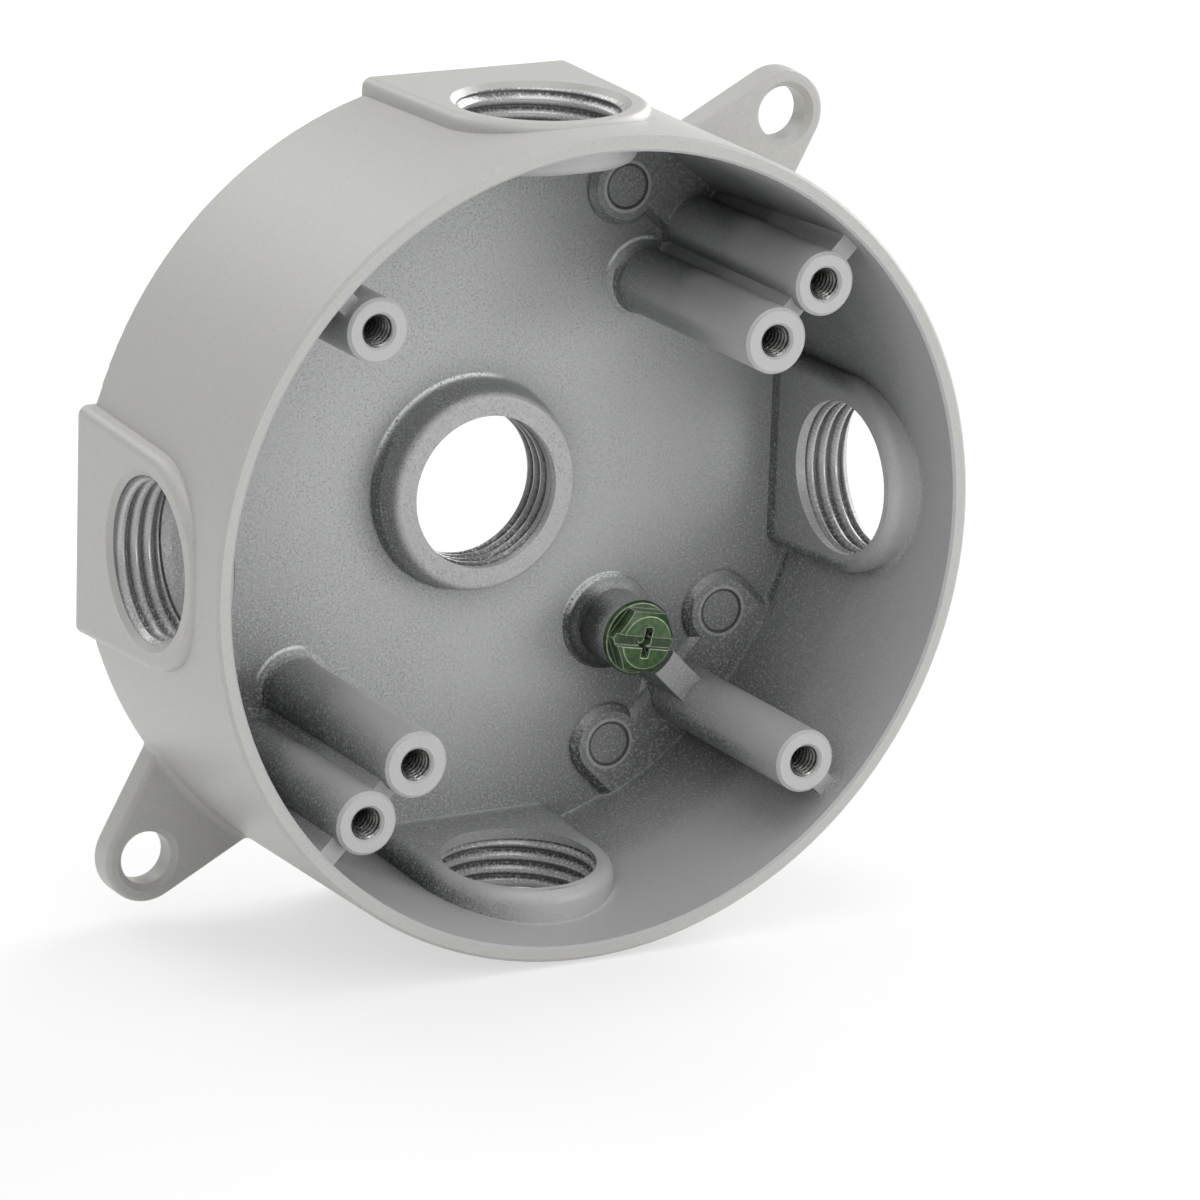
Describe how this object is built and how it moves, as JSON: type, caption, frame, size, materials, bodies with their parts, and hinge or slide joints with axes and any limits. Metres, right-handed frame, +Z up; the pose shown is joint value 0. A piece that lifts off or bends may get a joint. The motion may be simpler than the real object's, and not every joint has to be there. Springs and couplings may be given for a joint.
{
  "type": "round weatherproof electrical box",
  "caption": "Round die-cast weatherproof junction box with threaded conduit outlets in its sides and back, wall lugs, screw posts and a green ground screw.",
  "frame": {"origin": "centre of the back face, which is also the middle between the two wall lugs", "axes": "+Y out of the back, towards the wall the box is fixed to; the open front faces -Y; +Z is up and +X is to the right seen from the front"},
  "size_m": [0.1072, 0.0392, 0.1072],
  "materials": {
    "powder_coat": "light grey powder coat with a fine grain, thin inside the box",
    "green_finish": "glossy green"
  },
  "bodies": {
    "casting": {"box_casting": "powder_coat"},
    "screw": {"ground_screw": "green_finish"}
  },
  "joints": [
    {"name": "ground_screw_travel", "type": "slide", "parent": "casting", "child": "screw", "axis": [0, -1, 0], "range_m": [0, 0.00397]}
  ]
}
